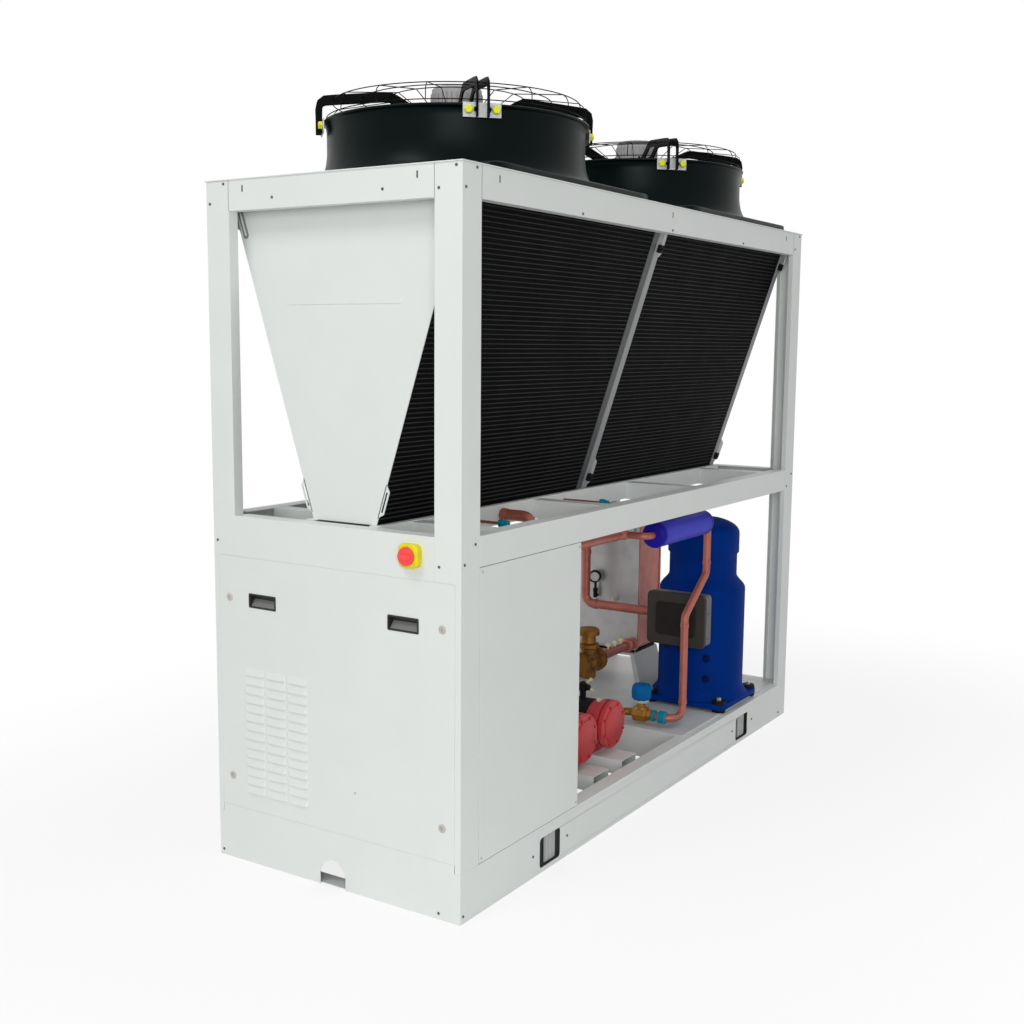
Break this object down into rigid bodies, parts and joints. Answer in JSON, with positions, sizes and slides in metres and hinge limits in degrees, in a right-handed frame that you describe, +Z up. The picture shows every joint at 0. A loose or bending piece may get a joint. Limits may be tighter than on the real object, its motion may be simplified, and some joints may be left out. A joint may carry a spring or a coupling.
{
  "type": "air cooled water chiller",
  "caption": "Packaged chiller: open steel frame with leaning condenser coils under two top fans, a louvred front cabinet and a compressor, plate exchanger and pipework below.",
  "frame": {"origin": "middle of the whole unit's plan, on the floor", "axes": "+Z up, front cabinet towards -Y, the long side with the compressor towards +X"},
  "size_m": [1.018, 2.785, 2.624],
  "materials": {
    "frame_paint": "satin powder coat",
    "galvanised_steel": "zinc coated sheet",
    "coil_fins": "black coated fins",
    "fan_black": "semi-gloss black",
    "blade_black": "matt black moulding",
    "motor_grey": "grey casting",
    "handle_grey": "matt moulding",
    "isolator_yellow": "satin moulding",
    "knob_red": "satin moulding",
    "compressor_blue": "semi-gloss paint",
    "terminal_black": "matt moulding",
    "exchanger_copper": "brazed copper",
    "muffler_blue": "semi-gloss paint",
    "copper": "drawn copper tube",
    "brass": "cast brass",
    "drier_red": "semi-gloss paint"
  },
  "bodies": {
    "chiller": {"post_front_left": "frame_paint", "post_front_right": "frame_paint", "post_back_left": "frame_paint", "post_back_right": "frame_paint", "top_rail_front": "frame_paint", "top_rail_back": "frame_paint", "top_rail_left": "frame_paint", "top_rail_right": "frame_paint", "mid_rail_front": "frame_paint", "mid_rail_back": "frame_paint", "mid_rail_left": "frame_paint", "mid_rail_right": "frame_paint", "base_rail_front": "frame_paint", "base_rail_back": "frame_paint", "base_rail_left": "frame_paint", "base_rail_right": "frame_paint", "cross_tubes": "frame_paint", "compressor_deck": "frame_paint", "drip_tray": "frame_paint", "tray_cross_members": "frame_paint", "end_plate_front": "frame_paint", "end_plate_back": "frame_paint", "fan_deck": "frame_paint", "control_cabinet": "frame_paint", "front_panel": "frame_paint", "side_panel_left": "frame_paint", "side_panel_right": "frame_paint", "lift_brackets": "galvanised_steel", "coil_strips": "galvanised_steel", "fan_clamps": "galvanised_steel", "exchanger_stand": "galvanised_steel", "coil_left_front": "coil_fins", "coil_left_back": "coil_fins", "coil_right_front": "coil_fins", "coil_right_back": "coil_fins", "fan_1_cowl": "fan_black", "fan_2_cowl": "fan_black", "fan_1_guard": "fan_black", "fan_2_guard": "fan_black", "fan_1_motor": "motor_grey", "fan_2_motor": "motor_grey", "panel_handles": "handle_grey", "isolator_plate": "isolator_yellow", "compressor": "compressor_blue", "terminal_box": "terminal_black", "plate_exchanger": "exchanger_copper", "muffler": "muffler_blue", "hot_gas_line": "copper", "suction_line": "copper", "liquid_line": "copper", "water_valve": "brass", "expansion_valve": "brass", "drier_shells": "drier_red"},
    "fan_1_rotor": {"fan_1_impeller": "blade_black"},
    "fan_2_rotor": {"fan_2_impeller": "blade_black"},
    "isolator_handle": {"isolator_knob": "knob_red"}
  },
  "joints": [
    {"name": "fan_1_spin", "type": "hinge", "parent": "chiller", "child": "fan_1_rotor", "pos_m": [0, -0.6535, 2.45], "axis": [0, 0, 1], "continuous": true},
    {"name": "fan_2_spin", "type": "hinge", "parent": "chiller", "child": "fan_2_rotor", "pos_m": [0, 0.7005, 2.45], "axis": [0, 0, 1], "continuous": true},
    {"name": "isolator_turn", "type": "hinge", "parent": "chiller", "child": "isolator_handle", "pos_m": [0.325, -1.3645, 1.125], "axis": [0, 1, 0], "range_deg": [0, 90]}
  ]
}
